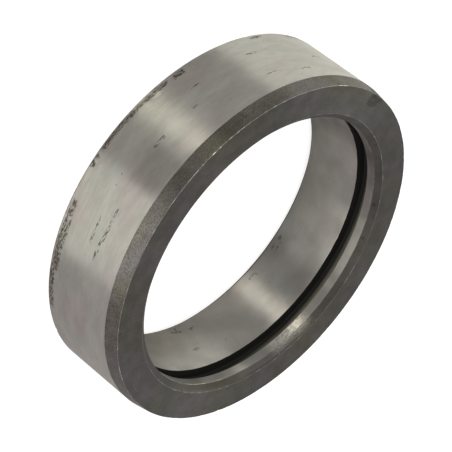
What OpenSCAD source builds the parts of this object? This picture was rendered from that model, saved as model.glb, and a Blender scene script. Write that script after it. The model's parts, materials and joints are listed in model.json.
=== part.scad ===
/* Plain bearing running ring: one turned, hardened and ground steel ring, open right through.
   Lengths in millimetres, +Z up along the bore axis. The grooved front face is up and the rear
   face rests on z = 0, so distances called "from the front" are measured down from the top. */

/* [Ring] */
// Diameter of the ground outer running surface
outer_d = 90; // [85:0.5:100]
// Diameter of the ground bore and of the land beside the groove
bore_d = 71.3; // [68:0.1:73]
// Length of the ring from rear face to front face
ring_w = 23.5; // [18:0.5:40]

/* [Front lead-in] */
// Axial length of the lead-in taper on the outside of the front end
taper_len = 3.6; // [1:0.1:5]
// Angle of the lead-in taper to the axis
taper_deg = 10; // [5:1:20]

/* [Front bore chamfer] */
// Radial width of the chamfer where the front face meets the bore
front_chamfer_r = 1.6; // [0.5:0.1:2]
// Axial depth of that chamfer
front_chamfer_z = 1.25; // [0.5:0.05:2]

/* [Bore groove] */
// Axial width of the narrow land between the front chamfer and the groove
land_w = 2.3; // [1:0.1:4]
// Axial width of the groove, which takes a ring of 2.62 mm section
groove_w = 3.4; // [2:0.1:5]
// Depth of the groove below the bore
groove_depth = 2.6; // [0.5:0.1:3]
// Radius in the two bottom corners of the groove
groove_corner_r = 0.4; // [0.1:0.1:0.8]

/* [Rear edges] */
// Chamfer on the outside of the rear end, equal both ways
rear_outer_chamfer = 0.6; // [0.2:0.1:1.5]
// Radial width of the chamfer where the rear face meets the bore
rear_bore_chamfer_r = 1.2; // [0.5:0.1:2]
// Axial depth of that chamfer
rear_bore_chamfer_z = 1.0; // [0.5:0.1:2]

/* [Hidden] */
$fn = 256;
steel = [0.58, 0.57, 0.55];
outer_r = outer_d / 2;
bore_r = bore_d / 2;
// How much the lead-in taper takes off the radius at the front face
taper_drop = taper_len * tan(taper_deg);
// Heights of the groove's two walls and of the circle centres in its bottom corners
groove_top = ring_w - front_chamfer_z - land_w;
groove_bottom = groove_top - groove_w;
groove_floor_r = bore_r + groove_depth;
corner_r = groove_floor_r - groove_corner_r;
// How far the groove cutter reaches into the open bore, clear of the wall
cut_past = 1;

// Half section of the ring without its groove, radius along X and height along Y
module ring_section() {
  polygon([
    [bore_r, rear_bore_chamfer_z],
    [bore_r + rear_bore_chamfer_r, 0],
    [outer_r - rear_outer_chamfer, 0],
    [outer_r, rear_outer_chamfer],
    [outer_r, ring_w - taper_len],
    [outer_r - taper_drop, ring_w],
    [bore_r + front_chamfer_r, ring_w],
    [bore_r, ring_w - front_chamfer_z],
  ]);
}

// Section of the groove cutter: square walls, flat floor and a radius in each bottom corner
module groove_section() {
  translate([bore_r - cut_past, groove_bottom])
    square([cut_past + groove_depth - groove_corner_r, groove_w]);
  translate([bore_r - cut_past, groove_bottom + groove_corner_r])
    square([cut_past + groove_depth, groove_w - 2 * groove_corner_r]);
  for (z = [groove_bottom + groove_corner_r, groove_top - groove_corner_r])
    translate([corner_r, z]) circle(r = groove_corner_r);
}

// The whole object: one solid ring of revolution about the bore axis
module bearing_ring() {
  color(steel) rotate_extrude() difference() {
    ring_section();
    groove_section();
  }
}

bearing_ring();
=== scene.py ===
import json
import math

import bmesh
import bpy
from mathutils import Matrix, Vector, noise


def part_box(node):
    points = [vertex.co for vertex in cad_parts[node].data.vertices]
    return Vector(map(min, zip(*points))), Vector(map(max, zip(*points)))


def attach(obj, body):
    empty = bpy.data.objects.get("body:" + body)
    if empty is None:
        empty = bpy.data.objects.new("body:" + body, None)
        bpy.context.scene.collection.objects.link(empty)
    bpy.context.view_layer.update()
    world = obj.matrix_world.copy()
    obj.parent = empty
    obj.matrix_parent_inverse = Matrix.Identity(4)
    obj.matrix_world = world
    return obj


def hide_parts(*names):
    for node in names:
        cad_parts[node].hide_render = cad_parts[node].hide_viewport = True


bl_info = {
    "name": "Ground bearing ring",
    "version": (1, 0, 0),
    "blender": (4, 5, 0),
    "location": "3D View > Sidebar > Bearing Ring",
    "description": "Makes a bare turned and ground bearing ring with a grooved bore, and its studio",
    "category": "Object",
}

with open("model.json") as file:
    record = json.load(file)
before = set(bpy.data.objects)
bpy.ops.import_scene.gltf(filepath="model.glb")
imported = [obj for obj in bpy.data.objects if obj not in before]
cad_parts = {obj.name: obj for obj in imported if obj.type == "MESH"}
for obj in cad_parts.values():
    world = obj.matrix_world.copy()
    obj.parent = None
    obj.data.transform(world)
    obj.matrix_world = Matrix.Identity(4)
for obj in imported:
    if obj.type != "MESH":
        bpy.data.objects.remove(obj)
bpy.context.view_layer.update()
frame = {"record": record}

MM = 0.001
RING_NODE = "bearing_ring"
MOUNTS = {mount["name"]: mount for mount in frame["record"]["mounts"]}


def mount_span(name):
    """Radius of a round mount, and the heights where its wall begins and ends, in metres."""
    mount = MOUNTS[name]
    middle = mount["pos_m"][2]
    half_length = mount["dims"]["length_mm"] * MM / 2
    return mount["dims"]["r_mm"] * MM, middle - half_length, middle + half_length


RING_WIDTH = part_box(RING_NODE)[1].z
OUTER_RADIUS, RUN_LOW, RUN_HIGH = mount_span("running_surface")
BORE_RADIUS, BORE_LOW, BORE_HIGH = mount_span("bore")
GROOVE_RADIUS, GROOVE_LOW, GROOVE_HIGH = mount_span("seal_groove")
# What the lead-in taper takes off the radius, and the radial width of the front chamfer in the bore
TAPER_DROP = 0.635 * MM
FRONT_CHAMFER = 1.6 * MM


def length_property(name, description, default):
    """A length in metres for a property group."""
    return bpy.props.FloatProperty(
        name=name,
        description=description,
        default=default,
        min=0.0,
        precision=5,
        subtype="DISTANCE",
        unit="LENGTH",
    )


def hex_colour(code):
    """An sRGB hex colour as linear red, green and blue, with an alpha of 1."""
    levels = [int(code[i : i + 2], 16) / 255 for i in (1, 3, 5)]
    linear = [c / 12.92 if c <= 0.04045 else ((c + 0.055) / 1.055) ** 2.4 for c in levels]
    return (*linear, 1.0)


def colour_property(name, description, code):
    """A colour for a property group, given as an sRGB hex value."""
    return bpy.props.FloatVectorProperty(
        name=name,
        description=description,
        default=hex_colour(code),
        size=4,
        min=0.0,
        max=1.0,
        subtype="COLOR",
    )


class RingSizes(bpy.types.PropertyGroup):
    """Sizes of the ring. Those that another part meets come from the frame's mounts."""

    outer_radius: length_property("Outer radius", "Radius of the ground outside", OUTER_RADIUS)
    width: length_property("Width", "Length of the ring along its axis", RING_WIDTH)
    taper_start: length_property("Taper start", "Height where the lead-in taper begins", RUN_HIGH)
    taper_drop: length_property("Taper drop", "How much the taper takes off the radius", TAPER_DROP)
    rear_chamfer: length_property("Rear chamfer", "Chamfer on the outside of the rear end", RUN_LOW)
    bore_radius: length_property("Bore radius", "Radius of the ground bore and land", BORE_RADIUS)
    bore_low: length_property("Bore start", "Height where the rear chamfer meets the bore", BORE_LOW)
    bore_high: length_property("Bore end", "Height where the land meets the front chamfer", BORE_HIGH)
    front_bore_chamfer: length_property(
        "Front bore chamfer", "Radial width of the front chamfer", FRONT_CHAMFER
    )
    rear_bore_chamfer: length_property(
        "Rear bore chamfer", "Radial width of the rear chamfer", 1.2 * MM
    )
    groove_radius: length_property("Groove radius", "Radius of the groove's floor", GROOVE_RADIUS)
    groove_low: length_property("Groove start", "Height of the groove's rear wall", GROOVE_LOW)
    groove_high: length_property("Groove end", "Height of the groove's front wall", GROOVE_HIGH)
    groove_corner: length_property("Groove corner", "Radius in the groove's bottom corners", 0.4 * MM)
    edge_break: length_property(
        "Edge break", "Width of the worn flat on the rear face's edges and the front rim", 0.10 * MM
    )
    fine_edge_break: length_property(
        "Fine edge break", "Width of the worn flat on the other, sharper edges", 0.05 * MM
    )
    row_pitch: length_property("Row pitch", "Height of one row of faces", 0.55 * MM)
    steps: bpy.props.IntProperty(
        name="Steps", description="Faces round the ring", default=560, min=64, max=720
    )


class RingFinish(bpy.types.PropertyGroup):
    """Colours and gloss of the ring's surfaces."""

    ground_steel: colour_property("Ground steel", "Bright steel of the outside", "#bcbcb4")
    ground_steel_warm: colour_property("Warm ground steel", "Warmer clouds in the ground steel", "#bdb7b2")
    bore_steel: colour_property("Bore steel", "Steel of the ground bore", "#bebdb8")
    turned_steel: colour_property("Turned steel", "Dark hardened steel of the end faces", "#74706e")
    turned_steel_brown: colour_property("Brown turned steel", "Browner clouds in the dark steel", "#6f6c63")
    bloom_brown: colour_property("Brown bloom", "Faint heat tint beside the scale", "#8f897c")
    # Also laid as painted shade on stretches of the taper, bore, land and chamfer
    scale_black_and_painted_shade: colour_property("Mill scale", "Black scale and grime left in the hollows", "#403f37")
    # Painted shade: the groove's walls are painted this near-black as shade in the recess
    groove_shade_black: colour_property("Groove black", "Old oil on the groove's walls", "#1d1d1b")
    # Painted light: the groove's floor turns this grey towards the land, on the side where it is lit
    groove_lit_grey: colour_property("Groove grey", "Groove's floor where the oil thins out", "#6b695e")
    # Painted highlight and painted light: laid on the land, the chamfer and lighter stretches of the bore
    painted_light_colour: colour_property("Rubbed steel", "Steel rubbed or wiped bright", "#efece0")
    stain_brown: colour_property("Brown stain", "Dried oil and light rust in the bore", "#5a463e")
    burnished: colour_property("Burnished edge", "Edge rubbed bright", "#a8a49a")
    ground_roughness: bpy.props.FloatProperty(
        name="Ground roughness",
        description="Roughness of the ground surfaces",
        default=0.36,
        min=0.0,
        max=1.0,
    )
    turned_roughness: bpy.props.FloatProperty(
        name="Turned roughness",
        description="Roughness of the dark end faces",
        default=0.52,
        min=0.0,
        max=1.0,
    )
    # Painted shade: the next two shades darken the end faces and the bore's chamfers
    face_painted_shade: bpy.props.FloatProperty(
        name="Face shade",
        description="Brightness of the end faces beside the taper",
        default=0.60,
        min=0.0,
    )
    chamfer_painted_shade: bpy.props.FloatProperty(
        name="Chamfer shade",
        description="Brightness of the bore's chamfers beside the faces",
        default=0.88,
        min=0.0,
    )
    # Painted shade: darkens the land in front of the groove
    land_painted_shade: bpy.props.FloatProperty(
        name="Land shade",
        description="Brightness of the land in front of the groove beside the bore",
        default=0.62,
        min=0.0,
    )


class StudioSettings(bpy.types.PropertyGroup):
    """Camera and light levels of the studio."""

    focal_length: bpy.props.FloatProperty(
        name="Focal length",
        description="Focal length of the camera's lens, in millimetres",
        default=188.5,
        min=20.0,
    )
    camera_side: length_property(
        "Camera side", "How far the camera stands to the right of the axis", 0.16 * MM
    )
    camera_back: length_property(
        "Camera distance", "How far the camera stands from the ring's axis", 462.7 * MM
    )
    camera_height: length_property("Camera height", "Height of the camera above the floor", 298.2 * MM)
    camera_tilt: bpy.props.FloatProperty(
        name="Camera tilt",
        description="Angle of the lens below the horizon",
        default=math.radians(31.92),
        subtype="ANGLE",
    )
    camera_roll: bpy.props.FloatProperty(
        name="Camera roll",
        description="How far the camera is rolled",
        default=math.radians(127.69),
        subtype="ANGLE",
    )
    room_light: bpy.props.FloatProperty(
        name="Room light",
        description="Brightness of the room round the ring",
        default=0.80,
        min=0.0,
    )
    paper_glow: bpy.props.FloatProperty(
        name="Paper glow",
        description="How much the floor is lifted to white for the camera",
        default=0.85,
        min=0.0,
    )


# ---------------------------------------------------------------- the ring's shape


def section_corners(size):
    """Corners of the half section as radius, height and width of the edge break, counter-clockwise."""
    return [
        (size.bore_radius, size.bore_low, size.fine_edge_break),
        (size.bore_radius + size.rear_bore_chamfer, 0.0, size.edge_break),
        (size.outer_radius - size.rear_chamfer, 0.0, size.edge_break),
        (size.outer_radius, size.rear_chamfer, size.fine_edge_break),
        (size.outer_radius, size.taper_start, size.fine_edge_break),
        (size.outer_radius - size.taper_drop, size.width, size.edge_break),
        (size.bore_radius + size.front_bore_chamfer, size.width, size.fine_edge_break),
        (size.bore_radius, size.bore_high, size.fine_edge_break),
        (size.bore_radius, size.groove_high, size.fine_edge_break),
        (size.groove_radius, size.groove_high, size.groove_corner),
        (size.groove_radius, size.groove_low, size.groove_corner),
        (size.bore_radius, size.groove_low, size.fine_edge_break),
    ]


def radius_of(place):
    """Distance of a point from the ring's axis."""
    return math.hypot(place.x, place.y)


SAME_PLACE = 0.001 * MM


def spin_section(bm, corners, steps):
    """Draws the closed half section and turns it once round the axis."""
    drawn = [bm.verts.new((radius, 0.0, height)) for radius, height, _ in corners]
    sides = [bm.edges.new((drawn[i - 1], drawn[i])) for i in range(len(drawn))]
    bmesh.ops.spin(
        bm,
        geom=drawn + sides,
        cent=(0, 0, 0),
        axis=(0, 0, 1),
        angle=math.tau,
        steps=steps,
        use_merge=True,
    )
    bmesh.ops.remove_doubles(bm, verts=bm.verts, dist=SAME_PLACE)
    bmesh.ops.recalc_face_normals(bm, faces=bm.faces)


SURFACES = ("outside", "turned", "bore", "groove", "edge")
FLAT_ENOUGH = 0.05
NEAR = 0.01 * MM


def assign_surfaces(bm, size):
    """Gives each face the number of its surface in SURFACES."""
    middle_radius = (size.bore_radius + size.outer_radius) / 2
    for face in bm.faces:
        centre = face.calc_center_median()
        radius = radius_of(centre)
        upright = abs(face.normal.z) < FLAT_ENOUGH
        level_with_groove = size.groove_low - NEAR < centre.z < size.groove_high + NEAR
        behind_bore = size.bore_radius + NEAR < radius < size.groove_radius + NEAR
        on_rear_chamfer = centre.z < size.rear_chamfer and radius > size.outer_radius - size.rear_chamfer
        if level_with_groove and behind_bore:
            surface = "groove"
        elif on_rear_chamfer or (upright and radius > middle_radius):
            surface = "outside"
        elif upright:
            surface = "bore"
        else:
            surface = "turned"
        face.material_index = SURFACES.index(surface)
        face.smooth = True


ROUND_CORNER_SEGMENTS = 5
EDGE_BREAK_SEGMENTS = 2


def break_edges(bm, size, corners):
    """Rounds the groove's bottom corners and puts a narrow flat on every other edge."""
    for radius, height, width in corners:
        at_corner = {
            vert
            for vert in bm.verts
            if abs(vert.co.z - height) < NEAR and abs(radius_of(vert.co) - radius) < NEAR
        }
        loop = [edge for edge in bm.edges if at_corner.issuperset(edge.verts)]
        in_corner = width == size.groove_corner
        bmesh.ops.bevel(
            bm,
            geom=loop,
            offset=width,
            offset_type="OFFSET",
            segments=ROUND_CORNER_SEGMENTS if in_corner else EDGE_BREAK_SEGMENTS,
            profile=0.5,
            affect="EDGES",
            material=-1 if in_corner else SURFACES.index("edge"),
        )


def cut_rows(bm, pitch):
    """Cuts the long faces across, so that worn places have points to move."""
    groups = {}
    for edge in bm.edges:
        low, high = (v.co for v in edge.verts)
        across = math.hypot(radius_of(high) - radius_of(low), high.z - low.z)
        cuts = int(across / pitch)
        if cuts:
            groups.setdefault(cuts, []).append(edge)
    for cuts, edges in sorted(groups.items()):
        bmesh.ops.subdivide_edges(bm, edges=edges, cuts=cuts, use_grid_fill=True)


# Small knocks: angle round the ring, radius and height of the middle, size and depth in millimetres
KNOCKS = (
    (11.0, 37.2, 23.5, 0.9, 0.22),
    (-172.0, 44.1, 23.4, 2.4, 0.16),
    (-101.0, 44.4, 23.5, 0.8, 0.14),
    (-118.0, 44.4, 23.4, 1.0, 0.12),
    (-61.0, 44.4, 23.5, 0.9, 0.12),
    (63.0, 37.3, 23.5, 0.8, 0.15),
    (100.0, 36.2, 22.7, 0.7, 0.15),
    (128.0, 36.4, 22.8, 0.6, 0.12),
    (36.0, 44.3, 23.4, 1.1, 0.12),
    (-20.0, 44.9, 0.6, 1.2, 0.15),
)


def round_place(angle, radius, height):
    """The point at an angle in degrees, a radius and a height."""
    turn = math.radians(angle)
    return Vector((radius * math.cos(turn), radius * math.sin(turn), height))


# Patches by the rear edge that the grinding wheel missed: how far up they reach, their size in millimetres
# round the ring and along it, and their depth
MISSED_REACH = 3.2 * MM
MISSED_ROUND, MISSED_ALONG = 3.0, 1.2
MISSED_DEPTH = 0.16 * MM
# Wear of the front edge: how far it reaches, the sizes of its small and large nicks, and their depth
NICK_REACH = 0.3 * MM
SMALL_NICK, LARGE_NICK = 0.9 * MM, 4.0 * MM
NICK_DEPTH = 0.09 * MM


def wear_surface(bm, size):
    """Sinks the missed patches by the rear edge, nicks the front edge and makes the small knocks."""
    knocks = [(round_place(a, r * MM, h * MM), s * MM / 2, d * MM) for a, r, h, s, d in KNOCKS]
    metal_middle = (size.bore_radius + size.outer_radius) / 2
    for vert in bm.verts:
        place = vert.co.copy()
        radius = radius_of(place)
        outward = Vector((place.x, place.y, 0)) / radius
        inward = (outward * metal_middle + Vector((0, 0, size.width / 2)) - place).normalized()
        if radius > size.outer_radius - NEAR and place.z < MISSED_REACH:
            spot = Vector((place.x / MISSED_ROUND, place.y / MISSED_ROUND, place.z / MISSED_ALONG)) / MM
            vert.co -= outward * max(0.0, noise.noise(spot)) * MISSED_DEPTH
        near_front_edge = abs(radius - size.outer_radius + size.taper_drop) < NICK_REACH
        if near_front_edge and place.z > size.width - NICK_REACH:
            nick = noise.noise(place / SMALL_NICK) + noise.noise(place / LARGE_NICK)
            vert.co -= outward * max(0.0, nick) * NICK_DEPTH
        for centre, reach, depth in knocks:
            distance = (place - centre).length / reach
            if distance < 1:
                vert.co += inward * depth * (1 - distance**2)


SHARP_ANGLE = math.radians(9)


def mark_sharp_edges(bm):
    """Keeps the shading crisp where two surfaces meet."""
    for edge in bm.edges:
        edge.smooth = edge.calc_face_angle(0.0) < SHARP_ANGLE


# ---------------------------------------------------------------- the ring's finishes


# Sockets of a Mix node, for colours and for levels: the two that go in and the one that comes out
COLOUR_A, COLOUR_B, MIXED = 6, 7, 2
LEVEL_A, LEVEL_B, MIXED_LEVEL = 2, 3, 0
# The levels between which most of a noise lies
NOISE_LOW, NOISE_HIGH = 0.3, 0.7
# How fast the place across the tool marks grows along the radius, where it grows by 1 along the height
RADIUS_STRETCH = 1.7
# The part of a patch's rise and spread where it is at its full strength
FULL_RISE = 0.4
FULL_SPREAD = 0.5
# How far a mask lifts the grain that breaks it up, and how softly the broken edge starts and ends
GRAIN_LIFT = 0.4
SOFT_START, SOFT_END = 0.04, 0.09


def add(tree, kind, inputs=None, **settings):
    """Adds a node with its settings. An input is given a value, or the socket that feeds it."""
    node = tree.nodes.new("ShaderNode" + kind)
    for name, value in settings.items():
        setattr(node, name, value)
    for name, value in (inputs or {}).items():
        if isinstance(value, bpy.types.NodeSocket):
            tree.links.new(value, node.inputs[name])
        else:
            node.inputs[name].default_value = value
    return node


def new_material(name):
    """An empty node material, its tree and its output."""
    material = bpy.data.materials.new(name)
    material.use_nodes = True
    material.node_tree.nodes.clear()
    return material, material.node_tree, add(material.node_tree, "OutputMaterial")


def ring_place(tree):
    """Sockets for a point's place on the ring, in millimetres."""
    metres = add(tree, "TexCoord").outputs["Object"]
    place = add(tree, "VectorMath", {0: metres, "Scale": 1 / MM}, operation="SCALE").outputs[0]
    flat = add(tree, "VectorMath", {0: place, 1: (1, 1, 0)}, operation="MULTIPLY").outputs[0]
    height = add(tree, "SeparateXYZ", {0: place}).outputs["Z"]
    radius = add(tree, "VectorMath", {0: flat}, operation="LENGTH").outputs["Value"]
    # Grows along every stretch of the section, so that marks across it follow the tool round the ring
    slope = {0: radius, 1: RADIUS_STRETCH, 2: height}
    across = add(tree, "Math", slope, operation="MULTIPLY_ADD").outputs[0]
    return {
        "place": place,
        "flat": flat,
        "radius": radius,
        "height": height,
        "across": across,
        "direction": add(tree, "VectorMath", {0: flat}, operation="NORMALIZE").outputs[0],
    }


def lay_noise(tree, where, length, width, detail=3.0, shift=0.0):
    """Noise drawn out round the ring, as a tool or wheel leaves it, by a mark's length and width in
    millimetres."""
    along = add(tree, "VectorMath", {0: where["flat"], "Scale": 1 / length}, operation="SCALE").outputs[0]
    spacing = {0: where["across"], 1: 1 / width, 2: shift}
    across = add(tree, "Math", spacing, operation="MULTIPLY_ADD").outputs[0]
    rise = add(tree, "CombineXYZ", {"Z": across}).outputs[0]
    vector = add(tree, "VectorMath", {0: along, 1: rise}, operation="ADD").outputs[0]
    return add(tree, "TexNoise", {"Vector": vector, "Scale": 1.0, "Detail": detail}).outputs["Fac"]


def shade_by(tree, level, colour, darkest, brightest):
    """Darkens and brightens a colour by a noise, from its darkest to its brightest shade."""
    ends = {"From Min": NOISE_LOW, "From Max": NOISE_HIGH, "To Min": darkest, "To Max": brightest}
    shade = add(tree, "MapRange", {"Value": level, **ends}, interpolation_type="SMOOTHSTEP").outputs[0]
    return add(tree, "VectorMath", {0: colour, "Scale": shade}, operation="SCALE").outputs[0]


def patch_mask(tree, where, angle, spread, height, rise):
    """1 in the middle of a patch at an angle and height, fading to 0 over its spread in degrees and its
    rise in millimetres."""
    turn = math.radians(angle)
    middle = (math.cos(turn), math.sin(turn), 0)
    both = {0: where["direction"], 1: middle}
    facing = add(tree, "VectorMath", both, operation="DOT_PRODUCT").outputs["Value"]
    nothing, full = (math.cos(math.radians(spread * part)) for part in (1.0, FULL_SPREAD))
    facing = {"Value": facing, "From Min": nothing, "From Max": full}
    round_mask = add(tree, "MapRange", facing, interpolation_type="SMOOTHSTEP").outputs[0]
    off = add(tree, "Math", {0: where["height"], 1: height}, operation="SUBTRACT").outputs[0]
    away = add(tree, "Math", {0: off}, operation="ABSOLUTE").outputs[0]
    away = {"Value": away, "From Min": rise, "From Max": rise * FULL_RISE}
    high_mask = add(tree, "MapRange", away, interpolation_type="SMOOTHSTEP").outputs[0]
    return add(tree, "Math", {0: round_mask, 1: high_mask}, operation="MULTIPLY").outputs[0]


def blot_mask(tree, where, angle, radius, height, size):
    """1 at a place on the ring, fading to 0 over a size. Lengths are in millimetres."""
    middle = round_place(angle, radius, height)
    gap = add(tree, "VectorMath", {0: where["place"], 1: middle}, operation="DISTANCE").outputs["Value"]
    edges = {"From Min": size, "From Max": size * FULL_SPREAD}
    return add(tree, "MapRange", {"Value": gap, **edges}, interpolation_type="SMOOTHSTEP").outputs[0]


def ragged(tree, grain, masks, level):
    """Joins several masks and breaks them up with a grain, which shows where it is above a level."""
    joined = masks[0]
    for mask in masks[1:]:
        joined = add(tree, "Math", {0: joined, 1: mask}, operation="MAXIMUM").outputs[0]
    # Where the mask falls, only ever higher peaks of the grain show
    lifted = add(tree, "Math", {0: joined, 1: GRAIN_LIFT, 2: grain}, operation="MULTIPLY_ADD").outputs[0]
    shown = level + GRAIN_LIFT
    edges = {"From Min": shown - SOFT_START, "From Max": shown + SOFT_END}
    return add(tree, "MapRange", {"Value": lifted, **edges}, interpolation_type="SMOOTHSTEP").outputs[0]


def stain(tree, steel, colour, mask, cover):
    """Lays a stain, or painted light or shade, on the steel, which shows through as far as it isn't covered.
    """
    laid = add(tree, "Math", {0: mask, 1: cover}, operation="MULTIPLY").outputs[0]
    sockets = {"Factor": laid, COLOUR_A: steel, COLOUR_B: tuple(colour)}
    return add(tree, "Mix", sockets, data_type="RGBA").outputs[MIXED]


def cover_stretches(tree, where, steel, colour, stretches):
    """Covers several stretches of the steel, each as far as its last number says."""
    for *patch, cover in stretches:
        steel = stain(tree, steel, colour, patch_mask(tree, where, *patch), cover)
    return steel


TOOL_MARK_STRENGTH = 0.25
QUARTER_TURN = 0.25


def tooled_steel(tree, colour, roughness, relief, depth, anisotropy):
    """Bare steel whose tool marks run round the ring, and whose relief stands out by a depth in
    millimetres."""
    marks = {"Height": relief, "Strength": TOOL_MARK_STRENGTH, "Distance": depth * MM}
    sockets = {
        "Base Color": colour,
        "Metallic": 1.0,
        "Roughness": roughness,
        "Anisotropic": anisotropy,
        # A quarter turn lays the marks along the tangent, which runs round the axis
        "Anisotropic Rotation": QUARTER_TURN,
        "Normal": add(tree, "Bump", marks).outputs[0],
        "Tangent": add(tree, "Tangent", direction_type="RADIAL", axis="Z").outputs[0],
    }
    return add(tree, "BsdfPrincipled", sockets)


# Scale along the rear edge: angle round the ring, spread in degrees, height and rise in millimetres
REAR_SCALE = (
    (-116.0, 3.0, 1.7, 1.2),
    (-108.0, 6.0, 1.5, 1.0),
    (-100.0, 7.0, 1.4, 0.9),
    (-91.0, 8.0, 1.2, 0.9),
    (-82.0, 3.0, 1.1, 0.9),
    (-67.0, 4.0, 1.9, 1.3),
    (-60.0, 6.0, 2.1, 1.8),
    (-52.0, 8.0, 1.9, 1.8),
    (-40.0, 12.0, 1.4, 1.4),
    (-163.0, 5.0, 0.9, 1.0),
    (-146.0, 3.5, 1.5, 0.7),
    (40.0, 60.0, 1.2, 1.3),
)
# Scuffs on the outside: a trail that runs round the ring, and fainter marks beside and beyond it
SCUFFS = (
    (-74.0, 2.5, 13.0, 0.5),
    (-70.0, 3.0, 13.1, 0.7),
    (-66.5, 3.0, 12.9, 0.8),
    (-63.0, 3.0, 12.6, 0.7),
    (-60.0, 2.5, 12.3, 0.6),
    (-67.0, 6.0, 9.9, 0.5),
    (-111.0, 1.8, 11.5, 0.4),
    (-116.0, 2.2, 7.0, 0.3),
    (-97.0, 3.5, 11.5, 0.7),
    (-138.0, 3.0, 6.5, 0.5),
    (-136.0, 3.0, 14.5, 0.3),
    (-160.0, 3.0, 11.0, 0.6),
    (-148.0, 3.0, 16.0, 0.6),
)
# Small stains in the bore
BORE_STAINS = (
    (39.0, 3.5, 2.8, 1.8),
    (46.5, 3.0, 4.5, 1.8),
    (39.0, 2.5, 10.5, 1.1),
    (52.0, 1.4, 12.0, 0.6),
    (80.5, 3.0, 2.8, 1.5),
    (97.0, 5.0, 2.8, 1.3),
)
# Dark blots on the front end: angle, radius, height and size in millimetres
FRONT_BLOTS = (
    (-174.6, 44.1, 23.4, 3.2),
    (-173.6, 43.3, 23.5, 2.6),
    (-172.8, 42.4, 23.5, 1.7),
    (119.0, 36.3, 22.7, 0.6),
    (134.0, 36.3, 22.7, 0.6),
    (166.0, 36.8, 23.1, 0.5),
)

# Stretches of a surface, given as a patch and how far it is covered: the outside has one darker stretch,
# and the taper, bore, land and chamfer get painted shade where darker and painted light where lighter
DULL_OUTSIDE = ((-90.0, 8.0, 15.0, 6.0, 0.24),)
# Painted shade on stretches of the taper
PAINTED_SHADE_TAPER = (
    (-103.0, 18.0, 22.0, 6.0, 0.40),
    (-105.0, 9.0, 22.0, 6.0, 0.25),
    (-140.0, 18.0, 22.0, 6.0, 0.28),
)
# Painted shade on stretches of the bore and land
PAINTED_SHADE_BORE = (
    (114.0, 30.0, 8.0, 20.0, 0.18),
    (25.0, 25.0, 21.0, 3.0, 0.44),
    (165.0, 26.0, 21.0, 3.0, 0.18),
    (14.0, 13.0, 21.0, 3.0, 0.36),
    (78.0, 6.0, 21.0, 3.0, 0.20),
    (151.0, 12.0, 21.0, 3.0, 0.38),
)
# Painted shade on a stretch of the front chamfer
PAINTED_SHADE_CHAMFER = ((18.0, 24.0, 22.6, 0.9, 0.72),)
# Painted light on a stretch of the front chamfer
PAINTED_LIGHT_CHAMFER = ((56.0, 15.0, 22.6, 0.9, 0.05),)
# Painted light on stretches of the bore and land
PAINTED_LIGHT_BORE = (
    (38.0, 40.0, 6.0, 14.0, 0.30),
    (138.0, 22.0, 8.0, 20.0, 0.20),
    (55.0, 14.0, 21.0, 2.4, 0.22),
    (89.0, 10.0, 21.0, 2.4, 0.24),
    (111.0, 10.0, 21.0, 2.4, 0.08),
)
# The lit side of the groove, whose floor gets painted light, and the painted highlight on the land and
# chamfer, given as patches
LIT_GROOVE_SIDE = (98.0, 60.0, 18.0, 6.0)
LAND_HIGHLIGHT_PATCH = (71.5, 12.0, 20.8, 2.8)
# Half the width over which one finish goes over into the next, in millimetres
EDGE_BLEND = 0.1
# Heights from the groove's middle where its floor's painted light starts and where it is full, in
# millimetres
GROOVE_LIGHT_STARTS, GROOVE_LIGHT_FULL = -0.9, 0.2
# How much the grind changes the roughness, and how much duller the bore is than the outside
GRIND_ROUGHNESS = 0.2
BORE_DULLNESS = 0.01
# How much duller a dark mark on the outside is than the steel, and how far it lies below the grind
MARK_DULLNESS = 0.25
MARK_SINK = 1.5
# How much of the taper's grain is left on the faces, and how much glossier the taper is than they are
FACE_GRAIN = 0.2
TAPER_GLOSS = 0.1
# The middle level of a noise
NOISE_MIDDLE = 0.5


def painted_highlight_place(tree, where):
    """Where the land and chamfer get a painted highlight: a soft patch, broken up by a fine grain."""
    grain = lay_noise(tree, where, length=0.9, width=0.6, detail=4.0, shift=41.0)
    broken = {"Value": grain, "From Min": 0.38, "From Max": 0.6, "To Min": 0.35}
    grain = add(tree, "MapRange", broken).outputs["Result"]
    patch = patch_mask(tree, where, *LAND_HIGHLIGHT_PATCH)
    return add(tree, "Math", {0: patch, 1: grain}, operation="MULTIPLY").outputs[0]


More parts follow.
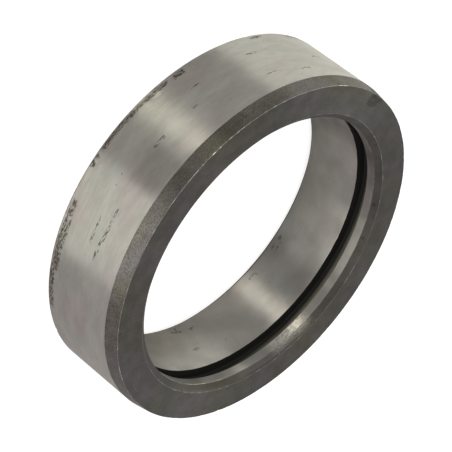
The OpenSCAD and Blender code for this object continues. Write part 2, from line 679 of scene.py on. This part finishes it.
def ground_outside(finish):
    """Hardened bearing steel, cylindrically ground: fine scratches run round it, so lights draw out into
    bands along the axis. Black scale is left in the hollows by the rear edge, and a few scuffs cross it."""
    material, tree, output = new_material("ground_bearing_steel")
    where = ring_place(tree)
    # The wheel's marks are really some 0.02 mm wide, and are drawn eight times coarser, so that they show
    grind = lay_noise(tree, where, length=9.0, width=0.16, detail=4.0)
    bands = lay_noise(tree, where, length=9.0, width=3.0, detail=3.0, shift=17.0)
    smears = lay_noise(tree, where, length=2.2, width=0.7, detail=5.0, shift=29.0)
    clouds = lay_noise(tree, where, length=14.0, width=9.0, detail=2.0, shift=7.0)
    warmth = add(tree, "MapRange", {"Value": clouds, "From Min": 0.35, "From Max": 0.65}).outputs["Result"]
    steel = stain(tree, tuple(finish.ground_steel), finish.ground_steel_warm, warmth, cover=1.0)
    steel = shade_by(tree, grind, steel, darkest=0.96, brightest=1.03)
    steel = shade_by(tree, bands, steel, darkest=0.92, brightest=1.06)
    steel = shade_by(tree, smears, steel, darkest=1.03, brightest=0.96)
    steel = cover_stretches(tree, where, steel, finish.scale_black_and_painted_shade, DULL_OUTSIDE)

    # A faint brown bloom lies round the scale
    rear_masks = [patch_mask(tree, where, *patch) for patch in REAR_SCALE]
    bloom = ragged(tree, smears, rear_masks, level=0.42)
    steel = stain(tree, steel, finish.bloom_brown, bloom, cover=0.5)
    scale_grain = lay_noise(tree, where, length=0.8, width=0.3, detail=2.0, shift=3.0)
    scuff_grain = lay_noise(tree, where, length=1.1, width=0.2, detail=3.0, shift=11.0)
    speck_grain = lay_noise(tree, where, length=0.9, width=0.5, detail=2.0, shift=23.0)
    scuffs = ragged(tree, scuff_grain, [patch_mask(tree, where, *patch) for patch in SCUFFS], level=0.485)
    peaks = {"Value": speck_grain, "From Min": 0.71, "From Max": 0.81}
    specks = add(tree, "MapRange", peaks).outputs["Result"]
    dark = ragged(tree, scale_grain, rear_masks, level=0.47)
    for mask in (scuffs, specks):
        dark = add(tree, "Math", {0: dark, 1: mask}, operation="MAXIMUM").outputs[0]
    colour = stain(tree, steel, finish.scale_black_and_painted_shade, dark, cover=0.78)

    # The marks are duller than the steel, and lie a little below it
    gloss = {0: grind, 1: GRIND_ROUGHNESS, 2: finish.ground_roughness - GRIND_ROUGHNESS / 2}
    ground = add(tree, "Math", gloss, operation="MULTIPLY_ADD").outputs[0]
    dulled = {0: dark, 1: MARK_DULLNESS, 2: ground}
    roughness = add(tree, "Math", dulled, operation="MULTIPLY_ADD").outputs[0]
    sunk = {0: dark, 1: -MARK_SINK, 2: grind}
    relief = add(tree, "Math", sunk, operation="MULTIPLY_ADD").outputs[0]
    shader = tooled_steel(tree, colour, roughness, relief, depth=0.02, anisotropy=1.0)
    tree.links.new(shader.outputs[0], output.inputs[0])
    return material


def ground_bore(finish):
    """The same steel, internally ground: a slightly greyer and duller finish with soft clouds and small
    stains."""
    material, tree, output = new_material("ground_bore_steel")
    where = ring_place(tree)
    # Drawn some ten times coarser than the real marks, so that they show
    grind = lay_noise(tree, where, length=7.0, width=0.2, detail=4.0, shift=5.0)
    clouds = lay_noise(tree, where, length=7.0, width=7.0, detail=4.0, shift=9.0)
    tints = lay_noise(tree, where, length=9.0, width=9.0, detail=2.0, shift=19.0)
    warmth = add(tree, "MapRange", {"Value": tints, "From Min": 0.4, "From Max": 0.6}).outputs["Result"]
    steel = stain(tree, tuple(finish.bore_steel), finish.ground_steel_warm, warmth, cover=0.7)
    steel = shade_by(tree, grind, steel, darkest=0.95, brightest=1.03)
    steel = shade_by(tree, clouds, steel, darkest=0.84, brightest=1.12)
    # Painted shade: the narrow land in front of the groove is made darker than the bore
    past_groove = {"Value": where["height"], "From Min": GROOVE_LOW / MM, "From Max": GROOVE_HIGH / MM}
    shades = {"To Min": 1.0, "To Max": finish.land_painted_shade}
    land = add(tree, "MapRange", {**past_groove, **shades}).outputs["Result"]
    steel = add(tree, "VectorMath", {0: steel, "Scale": land}, operation="SCALE").outputs[0]
    # Painted shade, then painted light, on stretches of the bore and land
    steel = cover_stretches(tree, where, steel, finish.scale_black_and_painted_shade, PAINTED_SHADE_BORE)
    steel = cover_stretches(tree, where, steel, finish.painted_light_colour, PAINTED_LIGHT_BORE)

    speck_grain = lay_noise(tree, where, length=1.3, width=0.8, detail=3.0, shift=31.0)
    peaks = {"Value": speck_grain, "From Min": 0.7, "From Max": 0.8}
    specks = add(tree, "MapRange", peaks).outputs["Result"]
    stain_masks = [patch_mask(tree, where, *patch) for patch in BORE_STAINS]
    stains = ragged(tree, speck_grain, stain_masks, level=0.51)
    spots = add(tree, "Math", {0: specks, 1: stains}, operation="MAXIMUM").outputs[0]
    colour = stain(tree, steel, finish.stain_brown, spots, cover=0.5)
    # Painted highlight on the land
    colour = stain(tree, colour, finish.painted_light_colour, painted_highlight_place(tree, where), cover=0.75)
    even = finish.ground_roughness + BORE_DULLNESS - GRIND_ROUGHNESS / 2
    gloss = {0: grind, 1: GRIND_ROUGHNESS, 2: even}
    roughness = add(tree, "Math", gloss, operation="MULTIPLY_ADD").outputs[0]
    shader = tooled_steel(tree, colour, roughness, grind, depth=0.02, anisotropy=1.0)
    tree.links.new(shader.outputs[0], output.inputs[0])
    return material


def turned_face(finish):
    """Turned steel left dark by hardening: a grey-brown, half matt skin, smooth on the faces and grainy on
    the taper, with faint rings from the tool."""
    material, tree, output = new_material("turned_hardened_steel")
    where = ring_place(tree)
    rings = lay_noise(tree, where, length=12.0, width=0.22, detail=3.0, shift=2.0)
    place = where["place"]
    # Clouds, mottle and blots are some 9, 3.5 and 1.4 mm across
    clouds = add(tree, "TexNoise", {"Vector": place, "Scale": 1 / 9.0, "Detail": 3.0}).outputs["Fac"]
    mottle = add(tree, "TexNoise", {"Vector": place, "Scale": 1 / 3.5, "Detail": 4.0}).outputs["Fac"]
    blot_grain = add(tree, "TexNoise", {"Vector": place, "Scale": 1 / 1.4, "Detail": 3.0}).outputs["Fac"]
    # The real grain is some 0.1 mm across, and is drawn three times coarser, so that it shows
    grit = add(tree, "TexNoise", {"Vector": place, "Scale": 1 / 0.3, "Detail": 3.0}).outputs["Fac"]

    # The grain stands out on the taper, and is flattened on the faces
    taper_edge = (OUTER_RADIUS - TAPER_DROP) / MM
    ends = {"From Min": taper_edge - EDGE_BLEND, "From Max": taper_edge + EDGE_BLEND}
    on_taper = add(tree, "MapRange", {"Value": where["radius"], **ends}).outputs["Result"]
    grain_left = {"Value": on_taper, "To Min": FACE_GRAIN, "To Max": 1.0}
    strength = add(tree, "MapRange", grain_left).outputs["Result"]
    grain = add(tree, "Mix", {"Factor": strength, LEVEL_A: NOISE_MIDDLE, LEVEL_B: grit}).outputs[MIXED_LEVEL]

    brown = add(tree, "MapRange", {"Value": clouds, "From Min": 0.38, "From Max": 0.62}).outputs["Result"]
    steel = stain(tree, tuple(finish.turned_steel), finish.turned_steel_brown, brown, cover=1.0)
    steel = shade_by(tree, rings, steel, darkest=0.93, brightest=1.06)
    steel = shade_by(tree, mottle, steel, darkest=0.88, brightest=1.10)
    steel = shade_by(tree, grain, steel, darkest=0.68, brightest=1.30)
    # Painted shade: the faces are made darker than the taper, and the bore's chamfers darker still
    chamfer_edge = (BORE_RADIUS + FRONT_CHAMFER) / MM
    for edge, inner_shade in ((taper_edge, finish.face_painted_shade), (chamfer_edge, finish.chamfer_painted_shade)):
        past_edge = {"Value": where["radius"], "From Min": edge - EDGE_BLEND, "From Max": edge + EDGE_BLEND}
        shades = {"To Min": inner_shade, "To Max": 1.0}
        skin = add(tree, "MapRange", {**past_edge, **shades}).outputs["Result"]
        steel = add(tree, "VectorMath", {0: steel, "Scale": skin}, operation="SCALE").outputs[0]

    # Painted shade on stretches of the taper
    for *patch, cover in PAINTED_SHADE_TAPER:
        taper_shade_mask = {0: patch_mask(tree, where, *patch), 1: on_taper}
        taper_shade_mask = add(tree, "Math", taper_shade_mask, operation="MULTIPLY").outputs[0]
        steel = stain(tree, steel, finish.scale_black_and_painted_shade, taper_shade_mask, cover)
    # Painted shade, then painted light, on stretches of the chamfer
    steel = cover_stretches(tree, where, steel, finish.scale_black_and_painted_shade, PAINTED_SHADE_CHAMFER)
    steel = cover_stretches(tree, where, steel, finish.painted_light_colour, PAINTED_LIGHT_CHAMFER)
    peaks = {"Value": blot_grain, "From Min": 0.68, "From Max": 0.76}
    specks = add(tree, "MapRange", peaks).outputs["Result"]
    blots = ragged(tree, blot_grain, [blot_mask(tree, where, *blot) for blot in FRONT_BLOTS], level=0.3)
    dark = add(tree, "Math", {0: specks, 1: blots}, operation="MAXIMUM").outputs[0]
    colour = stain(tree, steel, finish.scale_black_and_painted_shade, dark, cover=0.8)
    # Painted highlight on the chamfer beside the land
    colour = stain(tree, colour, finish.painted_light_colour, painted_highlight_place(tree, where), cover=0.34)
    gloss = {0: on_taper, 1: -TAPER_GLOSS, 2: finish.turned_roughness}
    roughness = add(tree, "Math", gloss, operation="MULTIPLY_ADD").outputs[0]
    shader = tooled_steel(tree, colour, roughness, grain, depth=0.06, anisotropy=0.85)
    tree.links.new(shader.outputs[0], output.inputs[0])
    return material


def shaded_groove(finish):
    """Rough turned steel, painted nearly black as the shade in the recessed groove, with painted light on
    the floor of its lit side, towards the land."""
    material, tree, output = new_material("oiled_turned_steel")
    where = ring_place(tree)
    rings = lay_noise(tree, where, length=9.0, width=0.3, detail=2.0, shift=13.0)
    middle = (GROOVE_LOW + GROOVE_HIGH) / 2 / MM
    towards_land = {"From Min": middle + GROOVE_LIGHT_STARTS, "From Max": middle + GROOVE_LIGHT_FULL}
    floor_light = add(tree, "MapRange", {"Value": where["height"], **towards_land}).outputs["Result"]
    side = patch_mask(tree, where, *LIT_GROOVE_SIDE)
    lit_floor = add(tree, "Math", {0: floor_light, 1: side}, operation="MULTIPLY").outputs[0]
    # Painted shade on the walls, and painted light on the floor towards the land on the lit side
    steel = stain(tree, tuple(finish.groove_shade_black), finish.groove_lit_grey, lit_floor, cover=1.0)
    colour = shade_by(tree, rings, steel, darkest=0.8, brightest=1.2)
    sockets = {"Base Color": colour, "Metallic": 0.1, "Roughness": 0.7, "Specular IOR Level": 0.15}
    shader = add(tree, "BsdfPrincipled", sockets)
    tree.links.new(shader.outputs[0], output.inputs[0])
    return material


def burnished_edge(finish):
    """Edges that handling has rubbed bright in broken stretches."""
    material, tree, output = new_material("burnished_steel_edge")
    where = ring_place(tree)
    wear = add(tree, "TexNoise", {"Vector": where["place"], "Scale": 1 / 1.6, "Detail": 5.0}).outputs["Fac"]
    worn = {"Value": wear, "From Min": 0.5, "From Max": 0.64}
    bright = add(tree, "MapRange", worn).outputs["Result"]
    colour = stain(tree, tuple(finish.turned_steel), finish.burnished, bright, cover=1.0)
    roughness = add(tree, "MapRange", {**worn, "To Min": 0.5, "To Max": 0.3}).outputs["Result"]
    shader = add(tree, "BsdfPrincipled", {"Base Color": colour, "Metallic": 1.0, "Roughness": roughness})
    tree.links.new(shader.outputs[0], output.inputs[0])
    return material


class MakeRing(bpy.types.Operator):
    """Makes the bearing ring, worn and finished"""

    bl_idname = "bearing_ring.make_ring"
    bl_label = "Bearing ring"

    def execute(self, context):
        size = context.scene.ring_sizes
        finish = context.scene.ring_finish
        corners = section_corners(size)
        bm = bmesh.new()
        spin_section(bm, corners, size.steps)
        assign_surfaces(bm, size)
        break_edges(bm, size, corners)
        cut_rows(bm, size.row_pitch)
        wear_surface(bm, size)
        bm.normal_update()
        mark_sharp_edges(bm)
        mesh = bpy.data.meshes.new("ground_ring")
        bm.to_mesh(mesh)
        bm.free()
        for make in (ground_outside, turned_face, ground_bore, shaded_groove, burnished_edge):
            mesh.materials.append(make(finish))
        ring = bpy.data.objects.new("ground_ring", mesh)
        context.scene.collection.objects.link(ring)
        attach(ring, "root")
        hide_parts(RING_NODE)
        return {"FINISHED"}


# ---------------------------------------------------------------- the studio


# Softboxes: name, angle round the ring, height angle, width and height in metres, brightness and colour
SOFTBOXES = (
    ("key_strip", -117.0, 28.0, 0.31, 0.60, 8.0, "#fff8ea"),
    ("right_box", -51.5, 12.0, 1.50, 0.50, 4.2, "#fffdf6"),
    ("left_box", 159.0, 12.0, 2.00, 0.50, 4.2, "#fdfff6"),
    ("side_fill", 10.0, 16.0, 2.10, 0.60, 0.55, "#ffd4ff"),
)
SOFTBOX_DISTANCE = 1.5
# How far the floor reaches each way from the ring
FLOOR_REACH = 3.0
PAPER_GREY = "#a9a8a5"
WHITE = "#ffffff"


def hang_softbox(name, angle, rise, width, height, brightness, code):
    """Hangs a rectangular lamp that faces the ring. Its watts give the brightness over its whole area."""
    lamp = bpy.data.lights.new(name, "AREA")
    lamp.shape = "RECTANGLE"
    lamp.size, lamp.size_y = width, height
    lamp.energy = brightness * math.pi * width * height
    lamp.color = hex_colour(code)[:3]
    box = bpy.data.objects.new(name, lamp)
    lift = math.radians(rise)
    reach = SOFTBOX_DISTANCE * math.cos(lift)
    box.location = round_place(angle, reach, SOFTBOX_DISTANCE * math.sin(lift))
    aim = Vector((0, 0, RING_WIDTH / 2)) - box.location
    box.rotation_euler = aim.to_track_quat("-Z", "Y").to_euler()
    bpy.context.scene.collection.objects.link(box)


def paper_floor(settings):
    """Matt white paper, lifted to white for the camera, while the ring sees it as a grey card."""
    material, tree, output = new_material("matt_paper")
    paper = add(tree, "BsdfDiffuse", {"Color": hex_colour(PAPER_GREY)})
    to_camera = add(tree, "LightPath").outputs["Is Camera Ray"]
    strength = add(tree, "Math", {0: to_camera, 1: settings.paper_glow}, operation="MULTIPLY").outputs[0]
    glow = add(tree, "Emission", {"Color": hex_colour(WHITE), "Strength": strength})
    both = add(tree, "AddShader", {0: paper.outputs[0], 1: glow.outputs[0]})
    tree.links.new(both.outputs[0], output.inputs[0])
    return material


def light_room(settings):
    """An even room: a soft grey for the ring, and white where the camera sees past the floor."""
    world = bpy.data.worlds.new("studio_room")
    world.use_nodes = True
    tree = world.node_tree
    tree.nodes.clear()
    to_camera = add(tree, "LightPath").outputs["Is Camera Ray"]
    levels = {"Value": to_camera, "To Min": settings.room_light, "To Max": 1.0}
    level = add(tree, "MapRange", levels).outputs["Result"]
    room = add(tree, "Background", {"Color": hex_colour(WHITE), "Strength": level})
    output = add(tree, "OutputWorld")
    tree.links.new(room.outputs[0], output.inputs[0])
    bpy.context.scene.world = world


def set_camera(settings):
    """Stands the camera in front of and above the ring, rolled so that the ring seems to stand on its
    rim."""
    lens = bpy.data.cameras.new("camera")
    lens.lens = settings.focal_length
    camera = bpy.data.objects.new("camera", lens)
    tilt = Matrix.Rotation(math.pi / 2 - settings.camera_tilt, 4, "X")
    roll = Matrix.Rotation(settings.camera_roll, 4, "Z")
    stand = Matrix.Translation((settings.camera_side, -settings.camera_back, settings.camera_height))
    camera.matrix_world = stand @ tilt @ roll
    bpy.context.scene.collection.objects.link(camera)
    bpy.context.scene.camera = camera


class MakeStudio(bpy.types.Operator):
    """Makes the floor, lights, room and camera"""

    bl_idname = "bearing_ring.make_studio"
    bl_label = "Studio"

    def execute(self, context):
        settings = context.scene.studio_settings
        bm = bmesh.new()
        bmesh.ops.create_grid(bm, x_segments=1, y_segments=1, size=FLOOR_REACH)
        mesh = bpy.data.meshes.new("floor")
        bm.to_mesh(mesh)
        bm.free()
        mesh.materials.append(paper_floor(settings))
        floor = bpy.data.objects.new("floor", mesh)
        context.scene.collection.objects.link(floor)
        for softbox in SOFTBOXES:
            hang_softbox(*softbox)
        light_room(settings)
        set_camera(settings)
        context.scene.view_settings.view_transform = "Standard"
        return {"FINISHED"}


class BearingRingPanel(bpy.types.Panel):
    """Buttons that make the ring and its studio"""

    bl_idname = "VIEW3D_PT_bearing_ring"
    bl_label = "Bearing Ring"
    bl_space_type = "VIEW_3D"
    bl_region_type = "UI"
    bl_category = "Bearing Ring"

    def draw(self, context):
        for step in (MakeRing, MakeStudio):
            self.layout.operator(step.bl_idname)
        scene = context.scene
        for settings in (scene.ring_sizes, scene.ring_finish, scene.studio_settings):
            box = self.layout.box()
            for name in settings.__annotations__:
                box.prop(settings, name)


CLASSES = (RingSizes, RingFinish, StudioSettings, MakeRing, MakeStudio, BearingRingPanel)


def register():
    """Adds the buttons and settings to Blender."""
    for cls in CLASSES:
        bpy.utils.register_class(cls)
    bpy.types.Scene.ring_sizes = bpy.props.PointerProperty(type=RingSizes)
    bpy.types.Scene.ring_finish = bpy.props.PointerProperty(type=RingFinish)
    bpy.types.Scene.studio_settings = bpy.props.PointerProperty(type=StudioSettings)


def unregister():
    """Takes them away again."""
    del bpy.types.Scene.studio_settings
    del bpy.types.Scene.ring_finish
    del bpy.types.Scene.ring_sizes
    for cls in reversed(CLASSES):
        bpy.utils.unregister_class(cls)


def main():
    """Makes the studio and the ring."""
    register()
    bpy.ops.bearing_ring.make_studio()
    bpy.ops.bearing_ring.make_ring()


if __name__ == "__main__":
    main()
